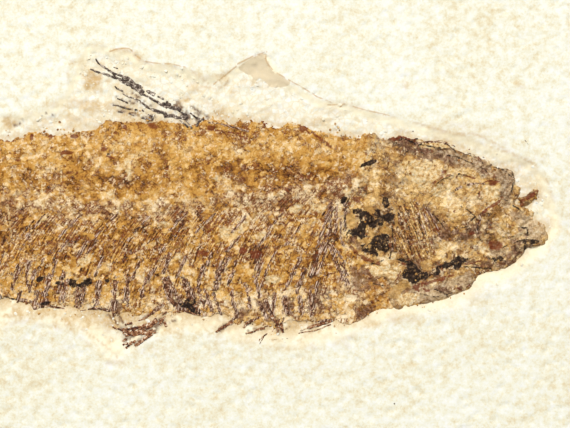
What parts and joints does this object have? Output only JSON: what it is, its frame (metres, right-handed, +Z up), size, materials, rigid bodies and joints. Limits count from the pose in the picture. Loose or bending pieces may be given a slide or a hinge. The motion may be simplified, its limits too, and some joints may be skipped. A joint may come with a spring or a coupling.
{
  "type": "fossil fish slab",
  "caption": "Flat split slab of pale laminated limestone with a whole small fossil fish lying in low relief on its top face, for display, teaching or a rock and fossil scene.",
  "frame": {"origin": "centre of the slab's flat underside", "axes": "+Z up out of the fossil face, +X towards the fish's snout along the slab's length, +Y towards the fish's back"},
  "size_m": [0.145, 0.092, 0.0107],
  "materials": {
    "limestone": "matte, finely granular",
    "scale_film": "satin mineral film",
    "fossil_bone": "satin mineral bone",
    "fin_rays": "satin mineral bone"
  },
  "bodies": {
    "root": {"slab": "limestone", "scaly_flank": "scale_film", "skull": "fossil_bone", "gill_cover": "fossil_bone", "lower_jaw": "fossil_bone", "loose_snout_bone": "fossil_bone", "dorsal_fin": "fin_rays", "pelvic_fin": "fin_rays", "pectoral_fin": "fin_rays", "anal_fin": "fin_rays", "tail_fin": "fin_rays"}
  },
  "joints": []
}
